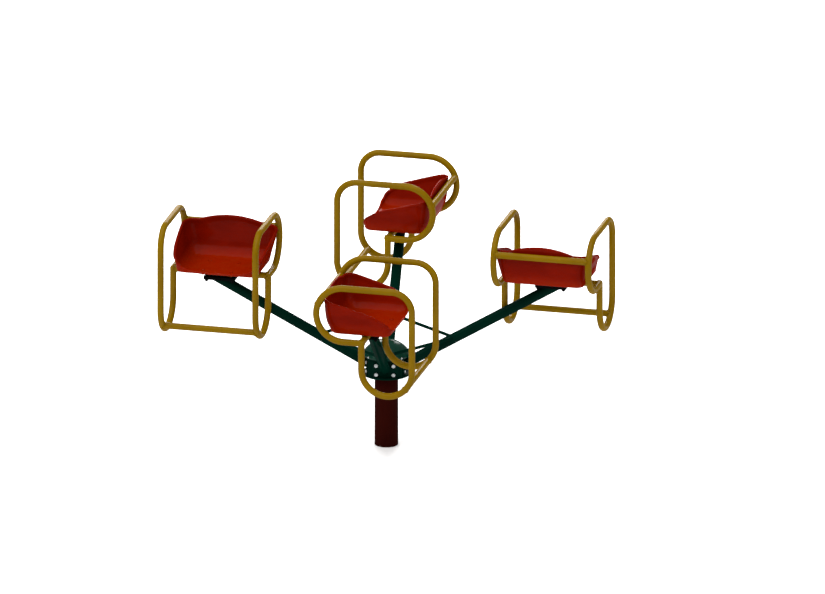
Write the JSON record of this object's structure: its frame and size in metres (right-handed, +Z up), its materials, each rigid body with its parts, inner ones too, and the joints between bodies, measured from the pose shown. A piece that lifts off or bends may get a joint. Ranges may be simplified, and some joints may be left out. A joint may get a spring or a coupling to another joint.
{
  "type": "playground merry-go-round",
  "caption": "Playground carousel: moulded bucket seats between bent tube loops, on sloping arms bolted to a hub with a domed cap that turns freely on a ground post.",
  "frame": {"origin": "centre of the post's lower end, on the spin axis", "axes": "+Z up along the spin axis; +X points outwards at the first station's seat frame, and its rider faces +Y"},
  "size_m": [2.0886, 2.0886, 1.1425],
  "materials": {
    "hub_green": "gloss enamel",
    "dome_green": "high gloss enamel",
    "frame_yellow": "gloss enamel",
    "seat_red": "moulded gloss",
    "post_maroon": "semi-gloss enamel",
    "plate_black": "satin enamel",
    "zinc_fastener": "bright zinc plate",
    "bearing_steel": "ground",
    "seal_rubber": "matt"
  },
  "bodies": {
    "base": {"post_tube": "post_maroon", "post_cap_plate": "post_maroon", "spindle": "bearing_steel", "spindle_washer": "bearing_steel", "spindle_nut": "bearing_steel", "bearing_spacer": "bearing_steel", "lower_bearing_inner_ring": "bearing_steel", "upper_bearing_inner_ring": "bearing_steel"},
    "rotor": {"lower_bearing_outer_ring": "bearing_steel", "upper_bearing_outer_ring": "bearing_steel", "hub_lower_disc": "hub_green", "bearing_housing": "hub_green", "hub_box": "hub_green", "hub_top_plate": "hub_green", "mount_plates": "plate_black", "dome_cover": "dome_green", "dust_seal": "seal_rubber", "arm_1": "hub_green", "tie_rod_1": "hub_green", "side_loop_inner_1": "frame_yellow", "side_loop_outer_1": "frame_yellow", "foot_bar_1": "frame_yellow", "back_bar_1": "frame_yellow", "seat_frame_1": "frame_yellow", "seat_shell_1": "seat_red", "arm_2": "hub_green", "tie_rod_2": "hub_green", "side_loop_inner_2": "frame_yellow", "side_loop_outer_2": "frame_yellow", "foot_bar_2": "frame_yellow", "back_bar_2": "frame_yellow", "seat_frame_2": "frame_yellow", "seat_shell_2": "seat_red", "arm_3": "hub_green", "tie_rod_3": "hub_green", "side_loop_inner_3": "frame_yellow", "side_loop_outer_3": "frame_yellow", "foot_bar_3": "frame_yellow", "back_bar_3": "frame_yellow", "seat_frame_3": "frame_yellow", "seat_shell_3": "seat_red", "arm_4": "hub_green", "tie_rod_4": "hub_green", "side_loop_inner_4": "frame_yellow", "side_loop_outer_4": "frame_yellow", "foot_bar_4": "frame_yellow", "back_bar_4": "frame_yellow", "seat_frame_4": "frame_yellow", "seat_shell_4": "seat_red", "dome_screws": "zinc_fastener", "arm_flange_bolts": "zinc_fastener", "arm_flange_nuts": "zinc_fastener", "seat_bolts": "zinc_fastener", "seat_nuts": "plate_black", "arm_head_bolts": "plate_black", "arm_head_nuts": "plate_black"},
    "lower_ball_set": {"lower_bearing_balls": "bearing_steel", "lower_bearing_cage": "bearing_steel"},
    "upper_ball_set": {"upper_bearing_balls": "bearing_steel", "upper_bearing_cage": "bearing_steel"}
  },
  "joints": [
    {"name": "rotor_spin", "type": "hinge", "parent": "base", "child": "rotor", "pos_m": [0, 0, 0.414], "axis": [0, 0, 1], "continuous": true},
    {"name": "lower_balls_roll", "type": "hinge", "parent": "base", "child": "lower_ball_set", "pos_m": [0, 0, 0.382], "axis": [0, 0, 1], "continuous": true},
    {"name": "upper_balls_roll", "type": "hinge", "parent": "base", "child": "upper_ball_set", "pos_m": [0, 0, 0.446], "axis": [0, 0, 1], "continuous": true}
  ],
  "couplings": [
    {"joint": "lower_balls_roll", "follows": "rotor_spin", "ratio": 0.5907},
    {"joint": "upper_balls_roll", "follows": "rotor_spin", "ratio": 0.5907}
  ]
}
